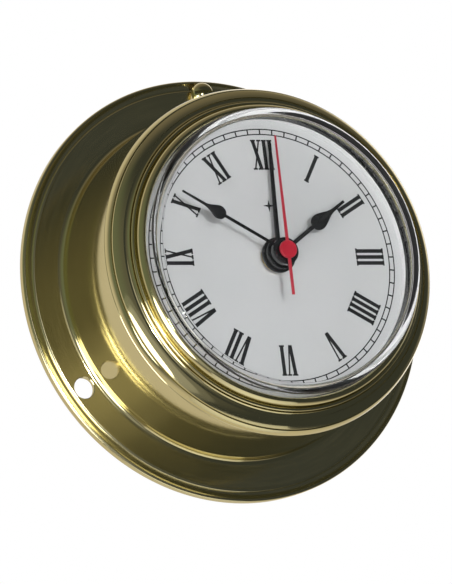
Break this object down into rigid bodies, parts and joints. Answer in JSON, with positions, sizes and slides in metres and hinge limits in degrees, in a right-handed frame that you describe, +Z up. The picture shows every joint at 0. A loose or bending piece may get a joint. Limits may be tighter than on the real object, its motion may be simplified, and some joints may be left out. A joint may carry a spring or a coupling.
{
  "type": "ships bulkhead clock",
  "caption": "Round brass wall clock for a ship: flanged drum case, stepped bezel, domed crystal, white Roman dial with alarm hand, battery movement that opens from behind.",
  "frame": {"origin": "centre of the wall flange, in the plane where its rim rests on the wall", "axes": "+Z up towards 12 o'clock, +X to the right towards 3 o'clock, +Y into the wall, so the dial faces -Y"},
  "size_m": [0.127, 0.0636, 0.127],
  "materials": {
    "polished_brass": "polished and lacquered",
    "plain_brass": "turned",
    "clear_crystal": "clear moulded acrylic",
    "black_rubber": "matt",
    "white_ring": "smooth",
    "white_dial": "satin white print base",
    "dark_steel": "plain",
    "black_plastic": "fine moulded grain",
    "pale_plastic": "moulded acetal",
    "buzzer_brass": "plain",
    "board_green": "solder mask",
    "board_black": "moulded",
    "copper_wire": "enamelled copper wire",
    "battery_shell": "printed sleeve",
    "magnet_grey": "bonded magnet",
    "black_hand": "gloss black",
    "red_hand": "gloss red"
  },
  "bodies": {
    "clock_case": {"case_body": "polished_brass", "bezel_ring": "polished_brass", "crystal": "clear_crystal", "crystal_gasket": "black_rubber", "spacer_ring": "white_ring", "dial_plate": "white_dial", "retaining_ring": "plain_brass", "fixing_screw": "polished_brass", "dial_washer": "dark_steel", "centre_nut": "plain_brass", "movement_housing": "black_plastic", "middle_plate": "pale_plastic", "movement_cover": "black_plastic", "buzzer_disc": "buzzer_brass", "circuit_board": "board_green", "board_parts": "board_black", "stator": "dark_steel", "coil_core": "dark_steel", "coil_winding": "copper_wire", "contact_positive": "plain_brass", "contact_negative": "plain_brass"},
    "seconds": {"second_wheel": "pale_plastic", "second_hand": "red_hand"},
    "minutes": {"centre_wheel": "pale_plastic", "minute_hand": "black_hand"},
    "hours": {"hour_wheel": "pale_plastic", "hour_hand": "black_hand"},
    "rotor": {"rotor": "magnet_grey"},
    "intermediate": {"intermediate_wheel": "pale_plastic"},
    "third": {"third_wheel": "pale_plastic"},
    "time_setting": {"motion_wheel": "pale_plastic", "time_knob": "pale_plastic"},
    "alarm_time": {"alarm_wheel": "pale_plastic", "alarm_hand": "black_hand"},
    "alarm_setting": {"alarm_pinion": "pale_plastic", "alarm_knob": "pale_plastic"},
    "alarm_lever": {"alarm_switch": "black_plastic"},
    "battery": {"battery": "battery_shell"}
  },
  "joints": [
    {"name": "seconds_turn", "type": "hinge", "parent": "clock_case", "child": "seconds", "pos_m": [0, -0.0229, 0], "axis": [0, 1, 0], "continuous": true},
    {"name": "minutes_turn", "type": "hinge", "parent": "clock_case", "child": "minutes", "pos_m": [0, -0.0268, 0], "axis": [0, 1, 0], "continuous": true},
    {"name": "hours_turn", "type": "hinge", "parent": "clock_case", "child": "hours", "pos_m": [0, -0.0316, 0], "axis": [0, 1, 0], "continuous": true},
    {"name": "rotor_turn", "type": "hinge", "parent": "clock_case", "child": "rotor", "pos_m": [0.01424, -0.0244, 0.00916], "axis": [0, 1, 0], "continuous": true},
    {"name": "intermediate_turn", "type": "hinge", "parent": "clock_case", "child": "intermediate", "pos_m": [0.00845, -0.0214, 0.00226], "axis": [0, 1, 0], "continuous": true},
    {"name": "third_turn", "type": "hinge", "parent": "clock_case", "child": "third", "pos_m": [-0.0022, -0.0247, 0.00821], "axis": [0, 1, 0], "continuous": true},
    {"name": "time_knob_turn", "type": "hinge", "parent": "clock_case", "child": "time_setting", "pos_m": [-0.00996, -0.0299, 0.00087], "axis": [0, 1, 0], "continuous": true},
    {"name": "alarm_time_turn", "type": "hinge", "parent": "clock_case", "child": "alarm_time", "pos_m": [0, -0.0332, 0], "axis": [0, 1, 0], "continuous": true},
    {"name": "alarm_knob_turn", "type": "hinge", "parent": "clock_case", "child": "alarm_setting", "pos_m": [0.00958, -0.0332, -0.00722], "axis": [0, 1, 0], "continuous": true},
    {"name": "alarm_lever_slide", "type": "slide", "parent": "clock_case", "child": "alarm_lever", "axis": [1, 0, 0], "range_m": [0, 0.003]},
    {"name": "battery_slide", "type": "slide", "parent": "clock_case", "child": "battery", "axis": [0, 1, 0], "range_m": [0, 0.016]}
  ],
  "couplings": [
    {"joint": "minutes_turn", "follows": "seconds_turn", "ratio": 0.016667},
    {"joint": "hours_turn", "follows": "seconds_turn", "ratio": 0.0013889},
    {"joint": "rotor_turn", "follows": "seconds_turn", "ratio": 30},
    {"joint": "intermediate_turn", "follows": "seconds_turn", "ratio": -6},
    {"joint": "third_turn", "follows": "seconds_turn", "ratio": -0.13333},
    {"joint": "time_knob_turn", "follows": "seconds_turn", "ratio": -0.0055556},
    {"joint": "alarm_knob_turn", "follows": "alarm_time_turn", "ratio": -4}
  ]
}
